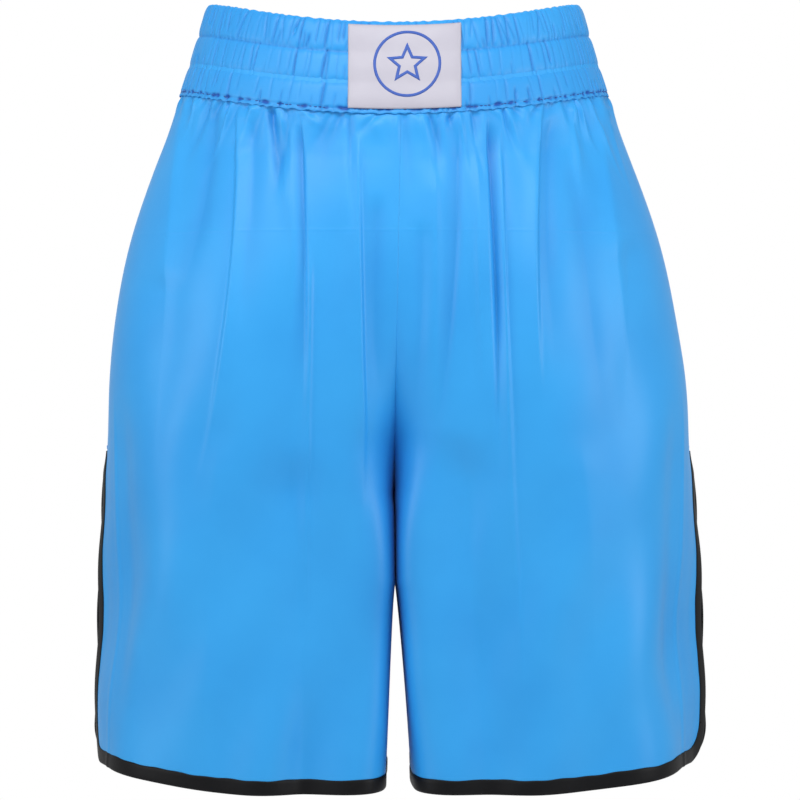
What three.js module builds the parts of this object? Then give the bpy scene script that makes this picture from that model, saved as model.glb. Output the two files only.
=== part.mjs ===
// Satin boxing shorts, hung by the waist with the cloth standing as it does when worn.
// Millimetres. The origin is the centre of the waist opening, halfway down the waistband at the sides.
// +Z is up, the front faces -Y, and the wearer's left is +X.
//
// Every piece follows one skin of revolution-like sections. "down" is the distance below the rim, and
// at each distance a leg's section is a rounded oval: the two ovals share one centre at the waist, draw
// apart towards the crotch, and stand side by side below it. A place on the skin is an angle on the
// oval (0 at the side seam, 180 degrees at the inseam), the distance down, and an offset outwards.
import * as THREE from "three";

// The whole garment, all distances measured down from the rim at the side
const RIM_Z = 30;
const CROTCH_DOWN = 325;
const HEM_DOWN = 522;
const RISE_STRAIGHT = 30; // how far below the band the centre seams run before they curve to the crotch
const RISE_CURVE = 1.5; // how sharply they curve
const FRONT_DIP = 19; // how far the rim hangs lower at the front and back centre than at the sides
const BACK_DIP = 8;
const INSEAM_SPREAD = 8; // how far each inseam stands from the middle at the hem
const LEG_SQUARENESS = 0.3; // how much fuller than an ellipse the legs are

// Cloth and trimmings
const CLOTH = 1; // panels and casing
const GAP = 0.3; // between pieces that touch
const ELASTIC_WIDTH = 13;
const ELASTIC_THICKNESS = 1.2;
const CHANNEL_EASE = 7; // what a channel is taller than its elastic, the stitching with it
const CASING_CAVITY = 2; // between the casing's two layers
const THREAD = 0.8;
const SEAM_WIDTH = 5; // overlocked seam allowance inside the garment
const SEAM_CLEARANCE = 0.8;
const SEAM_BELOW_BAND = 1.5;
const SEAM_INSET = 1.2; // what the overlocking stops short by at a panel's lower end

// Side vents and the bias binding along them and round the hems
const VENT_ABOVE_CROTCH = 27;
const VENT_CORNER_RADIUS = 35;
const BINDING_WIDTH = 9;
const BINDING_CLOTH = 1;
const BINDING_CLEARANCE = 0.4;
const TACK_LENGTH = 9;
const TACK_HEIGHT = 2.4;
const TACK_ABOVE_VENT = 3.5;

// Labels
const LABEL = { width: 73, height: 53, thickness: 0.8, x: 7, topDown: 2 };
const CARE_LABEL = { width: 30, height: 50, thickness: 0.5, topDown: 48, clearance: 0.5 };

// Each leg bends over a stretch that starts at the vent's top and ends this far below the crotch
const FOLD_BELOW_CROTCH = 41;

// How finely the curved pieces are drawn
const RING_STEPS = 40;
const BROAD_COLUMNS = 10; // across a panel, and a quarter of a ring on the waist
const SIDE_COLUMNS = 3; // across the strip beside a vent
const HIP_ROWS = 8;
const FOLD_ROWS = 3;
const LEG_ROWS = 4; // above the rounded corner
const CORNER_ROWS = 5;
const SEAM_ROWS = 8;

// What follows from them
const CHANNEL_PITCH = ELASTIC_WIDTH + CHANNEL_EASE;
const BAND_HEIGHT = 3 * CHANNEL_PITCH;
const PANEL_TUCK = CHANNEL_EASE - CLOTH - 2 * GAP; // how far the panels reach up into the casing
const VENT_DOWN = CROTCH_DOWN - VENT_ABOVE_CROTCH;
const FOLD_END_DOWN = CROTCH_DOWN + FOLD_BELOW_CROTCH;
const CASING_INSIDE = CASING_CAVITY / 2;
const CASING_OUTSIDE = CASING_INSIDE + CLOTH;

// Half-width and half-depth of the skin at a few distances down, with a smooth curve between them
const GIRTHS = [
  { down: 0, halfWidth: 123, halfDepth: 88 },
  { down: BAND_HEIGHT, halfWidth: 142, halfDepth: 102 },
  { down: 156, halfWidth: 175, halfDepth: 116 },
  { down: 263, halfWidth: 191, halfDepth: 118 },
  { down: CROTCH_DOWN, halfWidth: 196, halfDepth: 113 },
  { down: HEM_DOWN, halfWidth: 202, halfDepth: 108 },
];

const FRONT = -1;
const BACK = 1;
const LEFT = 1;
const RIGHT = -1;
const { smoothstep, clamp } = THREE.MathUtils;

const finish = (color, roughness) => new THREE.MeshStandardMaterial({ color, roughness, metalness: 0 });
const SATIN = finish(0x45a7f1, 0.35);
const THREAD_BLUE = finish(0x3d9be4, 0.6);
const ELASTIC_WHITE = finish(0xe8e6e0, 0.85);
const BINDING_BLACK = finish(0x151619, 0.55);
const LABEL_SATIN = finish(0xd5d3e0, 0.4);
const CARE_WHITE = finish(0xf2f1ee, 0.5);

const girth = new THREE.CubicInterpolant(
  GIRTHS.map((g) => g.down),
  GIRTHS.flatMap((g) => [g.halfWidth, g.halfDepth]),
  2,
);

// One leg's oval at a distance down. parting is 0 where the two ovals share a centre, 1 where they part.
function sectionAt(down) {
  const [halfWidth, halfDepth] = girth.evaluate(down);
  const riseTop = BAND_HEIGHT + RISE_STRAIGHT;
  const rise = clamp((down - riseTop) / (CROTCH_DOWN - riseTop), 0, 1);
  const parting = 1 - (1 - rise) ** RISE_CURVE;
  const below = Math.max(0, (down - CROTCH_DOWN) / (HEM_DOWN - CROTCH_DOWN));
  const inner = CLOTH / 2 + GAP / 2 + INSEAM_SPREAD * below;
  const a = (halfWidth - inner * parting) / (1 + parting);
  const squareness = 2 + LEG_SQUARENESS * smoothstep(down, BAND_HEIGHT, CROTCH_DOWN);
  return { a, b: halfDepth, centre: halfWidth - a, squareness };
}

const bulge = (value, power) => Math.sign(value) * Math.abs(value) ** power;

// The angle at which the oval is a distance y from the side seam's plane, on the side seam's side
function angleFromSide(y, down) {
  const { b, squareness } = sectionAt(down);
  return Math.asin(Math.min(1, y / b) ** (squareness / 2));
}

// The angle of the centre seam, or of the inseam below the crotch
function angleOfSeam(down) {
  const { a, b, centre, squareness } = sectionAt(down);
  const toMiddle = Math.max(-1, (GAP / 2 - centre) / a);
  const inseam = Math.PI - Math.asin((GAP / 2 / b) ** (squareness / 2));
  return Math.min(Math.acos(bulge(toMiddle, squareness / 2)), inseam);
}

// A point of the skin on one side and one face
function skin(side, face, angle, down, offset = 0) {
  const { a, b, centre, squareness } = sectionAt(down);
  const x = centre + (a + offset) * bulge(Math.cos(angle), 2 / squareness);
  const y = face * (b + offset) * bulge(Math.sin(angle), 2 / squareness);
  const dip = (face === FRONT ? FRONT_DIP : BACK_DIP) * Math.sin(angle) ** 2;
  const dipLeft = 1 - smoothstep(down, BAND_HEIGHT, CROTCH_DOWN);
  return new THREE.Vector3(side * Math.max(x, GAP / 2), y, RIM_Z - down - dip * dipLeft);
}

// A point of the waistband's ring, the whole way round: 90 degrees is the front centre
function bandSkin(turn, down, offset) {
  const { a, b } = sectionAt(down);
  const dip = (Math.sin(turn) > 0 ? FRONT_DIP : BACK_DIP) * Math.sin(turn) ** 2;
  return new THREE.Vector3(
    (a + offset) * Math.cos(turn),
    -(b + offset) * Math.sin(turn),
    RIM_Z - down - dip,
  );
}

// Moves each vertex of a geometry, and turns its faces round if that turned it inside out
function reshape(geometry, place) {
  const position = geometry.attributes.position;
  const from = new THREE.Vector3();
  for (let i = 0; i < position.count; i += 1) {
    from.fromBufferAttribute(position, i);
    position.setXYZ(i, ...place(from).toArray());
  }
  const index = geometry.index.array;
  const corner = [new THREE.Vector3(), new THREE.Vector3(), new THREE.Vector3()];
  let volume = 0;
  for (let i = 0; i < index.length; i += 3) {
    corner.forEach((c, j) => c.fromBufferAttribute(position, index[i + j]));
    volume += corner[0].dot(corner[1].clone().cross(corner[2]));
  }
  if (volume < 0) {
    index.reverse();
  }
  geometry.computeVertexNormals();
  return geometry;
}

// A slab with its columns, rows and two faces bent to a surface: place(across, along, face) gets
// 0 to 1 across, 0 to 1 along, and -1 or 1 for the face
function bentSlab(columns, rows, place) {
  const slab = new THREE.BoxGeometry(1, 1, 2, columns, rows, 1);
  return reshape(slab, (p) => place(p.x + 0.5, p.y + 0.5, p.z));
}

// A ring round the waist, from a closed profile of offset outwards and distance down
function waistRing(profile) {
  const radius = GIRTHS[0].halfWidth; // any circle larger than the offsets does, as it is reshaped
  const points = [...profile, profile[0]].map(([offset, down]) => new THREE.Vector2(radius + offset, down));
  return reshape(new THREE.LatheGeometry(points, RING_STEPS), (p) =>
    bandSkin(Math.atan2(p.z, p.x), p.y, Math.hypot(p.x, p.z) - radius),
  );
}

const rectangle = (inside, outside, top, bottom) => [
  [inside, top],
  [inside, bottom],
  [outside, bottom],
  [outside, top],
];

function mesh(name, geometry, material) {
  const made = new THREE.Mesh(geometry, material);
  made.name = name;
  return made;
}

// The casing is one strip of satin folded over the elastics, open at the bottom for the panels
function waistbandCasing() {
  const levels = [BAND_HEIGHT, 2 * CHANNEL_PITCH, CHANNEL_PITCH];
  const walk = (offset, top) => [...levels.map((down) => [offset, down]), [offset, top]];
  const profile = [
    ...walk(CASING_OUTSIDE, 0),
    ...walk(-CASING_OUTSIDE, 0).reverse(),
    ...walk(-CASING_INSIDE, CLOTH),
    ...walk(CASING_INSIDE, CLOTH).reverse(),
  ];
  return mesh("waistband_casing", waistRing(profile), SATIN);
}

function elastics() {
  const half = ELASTIC_THICKNESS / 2;
  return ["upper", "middle", "lower"].map((which, i) => {
    const top = i * CHANNEL_PITCH + CLOTH + GAP;
    const ring = waistRing(rectangle(-half, half, top, top + ELASTIC_WIDTH));
    return mesh(`elastic_${which}`, ring, ELASTIC_WHITE);
  });
}

// Channel stitching lies between two elastics, and the waist seam's row on the casing's face
function waistStitching() {
  const row = (name, inside, down) => {
    const section = rectangle(inside, inside + THREAD, down - THREAD / 2, down + THREAD / 2);
    return mesh(name, waistRing(section), THREAD_BLUE);
  };
  return [
    row("channel_stitching_upper", -THREAD / 2, CHANNEL_PITCH - CLOTH),
    row("channel_stitching_lower", -THREAD / 2, 2 * CHANNEL_PITCH - CLOTH),
    row("waist_seam_stitching", CASING_OUTSIDE + GAP, BAND_HEIGHT - PANEL_TUCK / 2),
  ];
}

function frontLabel() {
  const { width, height, thickness, x, topDown } = LABEL;
  const inside = CASING_OUTSIDE + GAP;
  const geometry = bentSlab(8, 2, (across, along, face) => {
    const down = topDown + height * (1 - along);
    const offset = inside + (thickness * (face + 1)) / 2;
    const here = x + width * (across - 0.5);
    return bandSkin(Math.acos(here / (sectionAt(down).a + offset)), down, offset);
  });
  return mesh("front_label", geometry, LABEL_SATIN);
}

// A flat tag that hangs by its top edge from the casing's inner layer at the back centre
function careLabel() {
  const { width, height, thickness, topDown, clearance } = CARE_LABEL;
  const inside = -CASING_OUTSIDE - clearance;
  const edge = bandSkin(-Math.acos(width / 2 / sectionAt(topDown).a), topDown, inside);
  const geometry = new THREE.BoxGeometry(width, thickness, height, 1, 1, 2);
  geometry.translate(0, edge.y - thickness / 2, bandSkin(-Math.PI / 2, topDown, 0).z - height / 2);
  return mesh("care_label", geometry, CARE_WHITE);
}

const faceName = (face) => (face === FRONT ? "front" : "back");
const sideName = (side) => (side === LEFT ? "left" : "right");

// A panel's edge along the vent stops short of the side seam's plane, so that its binding fits
const VENT_EDGE = GAP / 2 + BINDING_CLOTH + BINDING_CLEARANCE;

// The panel above the vent, gathered into the casing at its top
function hipPanel(side, face) {
  const top = BAND_HEIGHT - PANEL_TUCK;
  const bottom = VENT_DOWN - GAP;
  const geometry = bentSlab(BROAD_COLUMNS, HIP_ROWS, (across, along, layer) => {
    const down = bottom + (top - bottom) * along;
    const first = angleFromSide(GAP / 2, down);
    const angle = first + (angleOfSeam(down) - first) * across;
    return skin(side, face, angle, down, (layer * CLOTH) / 2);
  });
  return mesh(`${faceName(face)}_panel_${sideName(side)}_hip`, geometry, SATIN);
}

// Where the angles of a panel's columns lie at a distance down, beside a vent edge at y: a few across
// the vent's strip, and the others at angles that keep to the hem's
function ventedAngles(edgeY, down) {
  const stripY = VENT_EDGE + VENT_CORNER_RADIUS;
  const strip = Array.from({ length: SIDE_COLUMNS }, (_, i) =>
    angleFromSide(edgeY + ((stripY - edgeY) * i) / SIDE_COLUMNS, down),
  );
  const first = angleFromSide(stripY, down);
  const seam = angleOfSeam(down);
  const broad = Array.from(
    { length: BROAD_COLUMNS + 1 },
    (_, i) => first + ((seam - first) * i) / BROAD_COLUMNS,
  );
  return [...strip, ...broad];
}

function ventedPanel(name, side, face, rows) {
  const columns = SIDE_COLUMNS + BROAD_COLUMNS;
  const geometry = bentSlab(columns, rows.length - 1, (across, along, layer) => {
    const { down, edgeY } = rows[Math.round(along * (rows.length - 1))];
    const angle = ventedAngles(edgeY, down)[Math.round(across * columns)];
    return skin(side, face, angle, down, (layer * CLOTH) / 2);
  });
  return mesh(name, geometry, SATIN);
}

// Points down a vent's edge: inward is the direction from the edge into the cloth
function straightEdge(top, bottom, steps) {
  return Array.from({ length: steps + 1 }, (_, i) => ({
    down: top + ((bottom - top) * i) / steps,
    edgeY: VENT_EDGE,
    inward: [1, 0],
  }));
}

// The quarter circle at a vent's lower corner
function cornerEdge(steps) {
  return Array.from({ length: steps }, (_, i) => {
    const turn = ((i + 1) / steps) * (Math.PI / 2);
    return {
      down: HEM_DOWN - VENT_CORNER_RADIUS * (1 - Math.sin(turn)),
      edgeY: VENT_EDGE + VENT_CORNER_RADIUS * (1 - Math.cos(turn)),
      inward: [Math.cos(turn), -Math.sin(turn)],
    };
  });
}

const FOLD_EDGE = straightEdge(VENT_DOWN, FOLD_END_DOWN - GAP, FOLD_ROWS);
const LEG_EDGE = [
  ...straightEdge(FOLD_END_DOWN, HEM_DOWN - VENT_CORNER_RADIUS, LEG_ROWS),
  ...cornerEdge(CORNER_ROWS),
];

// The binding's section, folded over an edge: distances off the edge and out of the cloth
const BINDING_INSIDE = CLOTH / 2 + BINDING_CLEARANCE;
const BINDING_SECTION = (thickness) => {
  const out = BINDING_INSIDE + thickness;
  const off = BINDING_CLEARANCE + thickness;
  return [
    [-BINDING_WIDTH, out],
    [0, out],
    [off, 0],
    [0, -out],
    [-BINDING_WIDTH, -out],
  ];
};

// Stations of a binding: the place of the cloth's edge, the way off it and the way out of it
function edgeStations(side, face, edge) {
  return edge.map(({ down, edgeY, inward }) => {
    const [intoY, intoDown] = inward.map((part) => part * BINDING_WIDTH);
    const angle = angleFromSide(edgeY, down);
    const inside = skin(side, face, angleFromSide(edgeY + intoY, down + intoDown), down + intoDown);
    return station(side, face, angle, down, inside);
  });
}

function hemStations(side, face) {
  const angles = ventedAngles(VENT_EDGE + VENT_CORNER_RADIUS, HEM_DOWN).slice(SIDE_COLUMNS + 1, -1);
  const above = HEM_DOWN - BINDING_WIDTH;
  return angles.map((angle) => station(side, face, angle, HEM_DOWN, skin(side, face, angle, above)));
}

function inseamStation(side) {
  const above = skin(side, FRONT, Math.PI, HEM_DOWN - BINDING_WIDTH);
  return station(side, FRONT, Math.PI, HEM_DOWN, above);
}

function station(side, face, angle, down, inside) {
  const edge = skin(side, face, angle, down);
  const off = edge.clone().sub(inside).normalize();
  const out = skin(side, face, angle, down, 1).sub(edge);
  out.addScaledVector(off, -out.dot(off)).normalize();
  return { edge, off, out };
}

function binding(name, stations) {
  const around = BINDING_SECTION(0).length - 1;
  const geometry = bentSlab(stations.length - 1, around, (across, along, layer) => {
    const { edge, off, out } = stations[Math.round(across * (stations.length - 1))];
    const [offBy, outBy] = BINDING_SECTION(layer > 0 ? BINDING_CLOTH : 0)[Math.round(along * around)];
    return edge.clone().addScaledVector(off, offBy).addScaledVector(out, outBy);
  });
  return mesh(name, geometry, BINDING_BLACK);
}

// One strip, from the front vent's edge round the hem to the back vent's edge
function legBinding(side) {
  const stations = [
    ...edgeStations(side, FRONT, LEG_EDGE),
    ...hemStations(side, FRONT),
    inseamStation(side),
    ...hemStations(side, BACK).reverse(),
    ...edgeStations(side, BACK, LEG_EDGE).reverse(),
  ];
  return binding(`hem_binding_${sideName(side)}`, stations);
}

// Overlocked allowance on the inside of a seam: centre(down) is the seam's place, and wide and in are
// the directions across it and into the garment
function seamStrip(name, { top, bottom }, centre, wide, into) {
  const nearest = CLOTH / 2 + SEAM_CLEARANCE;
  const geometry = bentSlab(1, SEAM_ROWS, (across, along, layer) =>
    centre(bottom + (top - bottom) * along)
      .addScaledVector(wide, SEAM_WIDTH * (across - 0.5))
      .addScaledVector(into, nearest + (THREAD * (layer + 1)) / 2),
  );
  return mesh(name, geometry, THREAD_BLUE);
}

const HIP_SEAM = { top: BAND_HEIGHT + SEAM_BELOW_BAND, bottom: VENT_DOWN - GAP - SEAM_INSET };
const LEG_SEAM = { top: FOLD_END_DOWN + SEAM_INSET, bottom: HEM_DOWN - BINDING_WIDTH - SEAM_INSET };
const ALONG_X = new THREE.Vector3(1, 0, 0);
const ALONG_Y = new THREE.Vector3(0, 1, 0);

function centreStitching(face) {
  const centre = (down) => skin(LEFT, face, angleOfSeam(down), down).setX(0);
  const into = ALONG_Y.clone().multiplyScalar(-face);
  return seamStrip(`centre_${faceName(face)}_stitching`, HIP_SEAM, centre, ALONG_X, into);
}

function sideStitching(side) {
  const centre = (down) => skin(side, FRONT, 0, down);
  const into = ALONG_X.clone().multiplyScalar(-side);
  return seamStrip(`side_stitching_${sideName(side)}`, HIP_SEAM, centre, ALONG_Y, into);
}

function inseamStitching(side) {
  const centre = (down) => skin(side, FRONT, Math.PI, down);
  const into = ALONG_X.clone().multiplyScalar(side);
  return seamStrip(`inseam_stitching_${sideName(side)}`, LEG_SEAM, centre, ALONG_Y, into);
}

// A short bar of dense stitches across the top of a vent
function ventTack(side) {
  const inside = CLOTH / 2 + GAP;
  const geometry = bentSlab(2, 1, (across, along, layer) => {
    const down = VENT_DOWN - TACK_ABOVE_VENT + TACK_HEIGHT * (0.5 - along);
    const place = skin(side, FRONT, 0, down, inside + (THREAD * (layer + 1)) / 2);
    return place.setY(TACK_LENGTH * (across - 0.5));
  });
  return mesh(`vent_bar_tack_${sideName(side)}`, geometry, BINDING_BLACK);
}

const shorts = new THREE.Group();

const waist = new THREE.Group();
waist.add(waistbandCasing(), ...elastics(), ...waistStitching(), frontLabel());
waist.add(centreStitching(FRONT), centreStitching(BACK));
shorts.add(waist, careLabel());

for (const side of [LEFT, RIGHT]) {
  const leg = new THREE.Group();
  for (const face of [FRONT, BACK]) {
    const panel = `${faceName(face)}_panel_${sideName(side)}`;
    const ventBinding = `${faceName(face)}_vent_binding_${sideName(side)}`;
    waist.add(hipPanel(side, face));
    waist.add(ventedPanel(`${panel}_fold`, side, face, FOLD_EDGE));
    waist.add(binding(ventBinding, edgeStations(side, face, FOLD_EDGE)));
    leg.add(ventedPanel(`${panel}_leg`, side, face, LEG_EDGE));
  }
  waist.add(sideStitching(side), ventTack(side));
  leg.add(legBinding(side), inseamStitching(side));
  shorts.add(leg);
}

export default shorts;
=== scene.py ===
"""Satin boxing shorts: the cloth, gathers, folds, stitching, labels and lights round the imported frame."""

import bpy
import numpy as np
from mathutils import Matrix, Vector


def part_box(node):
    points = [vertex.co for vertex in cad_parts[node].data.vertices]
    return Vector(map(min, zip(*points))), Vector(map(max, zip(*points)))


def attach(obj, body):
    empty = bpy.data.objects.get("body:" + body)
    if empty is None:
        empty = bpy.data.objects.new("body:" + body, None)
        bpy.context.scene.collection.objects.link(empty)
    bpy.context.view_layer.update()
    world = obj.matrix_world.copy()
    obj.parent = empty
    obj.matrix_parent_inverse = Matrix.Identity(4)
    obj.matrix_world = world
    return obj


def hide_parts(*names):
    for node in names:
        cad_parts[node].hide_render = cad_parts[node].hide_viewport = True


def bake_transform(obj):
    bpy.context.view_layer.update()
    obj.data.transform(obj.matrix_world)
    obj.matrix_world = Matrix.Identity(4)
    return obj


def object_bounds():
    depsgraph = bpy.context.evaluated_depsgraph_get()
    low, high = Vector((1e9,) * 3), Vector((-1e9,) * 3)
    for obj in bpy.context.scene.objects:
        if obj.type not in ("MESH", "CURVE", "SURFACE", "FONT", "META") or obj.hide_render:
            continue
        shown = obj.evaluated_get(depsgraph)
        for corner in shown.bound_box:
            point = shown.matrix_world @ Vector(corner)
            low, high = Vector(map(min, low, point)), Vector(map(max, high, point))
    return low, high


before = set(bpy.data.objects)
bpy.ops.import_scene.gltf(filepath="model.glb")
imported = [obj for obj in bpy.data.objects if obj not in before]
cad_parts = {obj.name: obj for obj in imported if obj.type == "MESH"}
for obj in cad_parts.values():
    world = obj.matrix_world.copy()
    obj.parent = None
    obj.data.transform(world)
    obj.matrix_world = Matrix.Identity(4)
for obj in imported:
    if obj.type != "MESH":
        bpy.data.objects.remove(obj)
cad_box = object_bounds()

# ---------------------------------------------------------------- sizes, in metres
MM = 0.001
FRONT, BACK = -1, 1
LEFT, RIGHT = 1, -1
SIDES = {"left": LEFT, "right": RIGHT}
FACES = {"front": FRONT, "back": BACK}

# Heights, counted down from the rim at the side as the frame has them
RIM_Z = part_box("waistband_casing")[1].z
SEAM_BELOW_BAND = 1.5 * MM
BAND = RIM_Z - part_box("side_stitching_left")[1].z - SEAM_BELOW_BAND
CHANNEL = BAND / 3
VENT = RIM_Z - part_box("front_vent_binding_left")[1].z
CROTCH = VENT + 27 * MM
CAD_HEM = RIM_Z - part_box("hem_binding_left")[0].z

# Girths: shares of the frame's widest and deepest places, at a few distances down
BINDING_STAND = 1.9 * MM  # how far the frame's binding stands out of the cloth's middle
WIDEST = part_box("hem_binding_left")[1].x - BINDING_STAND
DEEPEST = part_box("front_panel_left_hip")[0].y * -1 - 0.5 * MM
GIRTH_DOWN = np.array([0, BAND, 156 * MM, 263 * MM, CROTCH, CAD_HEM])
GIRTH_WIDTH = np.array([0.612, 0.703, 0.874, 0.952, 0.976, 1.008]) * WIDEST
GIRTH_DEPTH = np.array([0.744, 0.862, 0.981, 0.998, 0.956, 0.913]) * DEEPEST

RISE_STRAIGHT = 30 * MM  # the centre seams run straight this far below the band
RISE_CURVE = 1.5  # how quickly the two legs' ovals part below that
FRONT_DIP = 19 * MM  # how far the rim dips in the middle of the front, and of the back
BACK_DIP = 8 * MM
OUTER_SQUARENESS = 0.2  # what a leg's oval adds to the ellipse's exponent of 2, outside and inside
INNER_SQUARENESS = 4.6
SQUARE_HIGH = 0.55  # the share of the inside's that comes under the band, within a length
SQUARE_HIGH_LENGTH = 110 * MM
SQUARE_LOW = 1.15  # and the share that comes round the crotch, from a place above it
SQUARE_LOW_TOP = CROTCH - 40 * MM
SQUARE_LOW_LENGTH = 85 * MM
LEGS_TOUCH = 56 * MM  # how far below the crotch the legs still touch
INSEAM_SPREAD = 9.4 * MM
SEAM_GAP = 0.03 * MM  # half the gap in which two panels meet
LEG_GAP = 0.25 * MM  # half the gap in which the two legs touch
LEG_SWAY = 0.7 * MM  # how far the plane in which the legs touch sways to and fro
LEAN = 3.7 * MM  # both hems hang this much towards the left leg
GAP_LEAN = 3 * MM  # the gap between the legs leans this much the same way
SEAM_LEAN = 4.5 * MM  # and the front's seam starts this much nearer to it

SWAY_LENGTH = 17 * MM
LEAN_TOP = 60 * MM  # where the hems' lean begins, and the length over which it grows
LEAN_LENGTH = 360 * MM

# The vents' flare: past a pressed crease the cloth turns back towards the side and stands out
CREASE_Y = 45 * MM
FLARE = 8 * MM
FLARE_TOP = VENT - 50 * MM
FLARE_FULL = CAD_HEM - 90 * MM

# The hem's line: how high it lies above the frame's hem, and its rounded corner at the vent
HEM_LIFT = 7.6 * MM
HEM_RISE_INSIDE = 1.6 * MM
HEM_SIDE_RISE = 12.8 * MM
HEM_RISE_FROM = 262 * MM
HEM_RISE_LENGTH = 50 * MM
HEM_SIDE_FROM = 20 * MM
HEM_SIDE_REACH = 190 * MM
CORNER_RADIUS = 24 * MM
VENT_EDGE = 1.6 * MM

CLOTH = 0.45 * MM
BINDING_WIDTH = 9 * MM


def smooth(t):
    """The smoothstep of t held between 0 and 1: 3t^2 - 2t^3."""
    t = np.clip(t, 0, 1)
    return t * t * (3 - 2 * t)


def ramp(value, start, length):
    """A soft rise from 0 at the start to 1 a length further on."""
    return smooth((value - start) / length)


def bell(value, width):
    """exp(-(value / width)^2): 1 at 0, and nearly gone at twice the width."""
    return np.exp(-((value / width) ** 2))


def unit(vectors):
    """The vectors of the last axis, each with length 1."""
    return vectors / np.linalg.norm(vectors, axis=-1, keepdims=True)


def spline(xs, ys):
    """A natural cubic spline through the points (xs, ys), as a function: on each stretch a cubic whose
    second derivative runs straight between values that one small linear system gives."""
    h = np.diff(xs)
    n = len(xs)
    system = np.eye(n)
    wanted = np.zeros(n)
    for i in range(1, n - 1):
        system[i, i - 1 : i + 2] = h[i - 1], 2 * (h[i - 1] + h[i]), h[i]
        wanted[i] = 6 * ((ys[i + 1] - ys[i]) / h[i] - (ys[i] - ys[i - 1]) / h[i - 1])
    m = np.linalg.solve(system, wanted)

    def value(x):
        i = np.clip(np.searchsorted(xs, x) - 1, 0, n - 2)
        p, q, w = xs[i + 1] - x, x - xs[i], h[i]
        curve = (m[i] * p**3 + m[i + 1] * q**3) / (6 * w)
        return curve + (ys[i] / w - m[i] * w / 6) * p + (ys[i + 1] / w - m[i + 1] * w / 6) * q

    return value


half_width = spline(GIRTH_DOWN, GIRTH_WIDTH)
half_depth = spline(GIRTH_DOWN, GIRTH_DEPTH)


def section(down):
    """One leg's oval at a distance down: half-width, half-depth, centre, the superellipse's outer and inner
    exponents, and how far the vent's flare draws the side in. parting is 0 where the two legs' ovals share
    a centre and 1 where they part."""
    down = np.asarray(down, float)
    rise_top = BAND + RISE_STRAIGHT
    rise = np.clip((down - rise_top) / (CROTCH - rise_top), 0, 1)
    parting = 1 - (1 - rise) ** RISE_CURVE
    below = np.clip((down - CROTCH - LEGS_TOUCH) / (CAD_HEM - CROTCH - LEGS_TOUCH), 0, 1)
    inner = LEG_GAP + INSEAM_SPREAD * below**0.75
    flare = FLARE * ramp(down, FLARE_TOP, FLARE_FULL - FLARE_TOP)
    width = half_width(down) - flare
    a = (width - inner * parting) / (1 + parting)
    outer_square = ramp(down, BAND, CROTCH - BAND)
    inner_square = SQUARE_HIGH * ramp(down, BAND, SQUARE_HIGH_LENGTH)
    inner_square = inner_square + SQUARE_LOW * ramp(down, SQUARE_LOW_TOP, SQUARE_LOW_LENGTH)
    exponents = (2 + OUTER_SQUARENESS * outer_square, 2 + INNER_SQUARENESS * inner_square)
    return a, half_depth(down), width - a, exponents, flare


def oval(angle, exponents):
    """A point of the unit superellipse |c|^n + |s|^n = 1 in the direction of the angle, with one exponent
    for its outer half and another for its inner half."""
    outer, inner = exponents
    c, s = np.cos(angle), np.sin(angle)
    n = np.where(c > 0, outer, inner)
    size = (np.abs(c) ** n + np.abs(s) ** n) ** (1 / n)
    return c / size, s / size


def angle_at(y, down):
    """The angle at which the oval lies a distance y in front of the side seam's plane."""
    _, b, _, (outer, _), _ = section(down)
    s = np.minimum(1, y / b)
    return np.arctan2(s, (1 - s**outer) ** (1 / outer))


def seam_angle(down):
    """The angle of the centre seam, or of the inseam below the crotch."""
    a, b, centre, (_, inner), _ = section(down)
    c = np.clip((centre - SEAM_GAP) / a, 0, 1)
    s = np.maximum((1 - c**inner) ** (1 / inner), SEAM_GAP / b)
    return np.pi - np.arctan2(s, c)


# ---------------------------------------------------------------- folds
# The heights of the cloth's relief other than its folds
PUFF_HEIGHT = 1.1 * MM
PUFF_DOWN = 6 * MM
GROOVE_DEPTH = 0.5 * MM
EDGE_WAVE = 0.9 * MM
CREASE_HEIGHT = 0.9 * MM
HOLLOW_DEPTH = 2.8 * MM
EDGE_LIFT = 1.6 * MM


def ridge(offset, width, skew):
    """A soft ridge, exp(-|offset / width|^1.6), wider on one side by the skew."""
    wide = width * np.where(offset > 0, 1 + skew, 1 - skew)
    return np.exp(-(np.abs(offset / wide) ** 1.6))


def along_fold(down, top, bottom):
    """How strong a fold is along its length: it comes in quickly and fades over its lower half."""
    t = (down - top) / (bottom - top)
    return ramp(t, 0, 0.1) * (1 - ramp(t, 0.45, 0.55))


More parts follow.
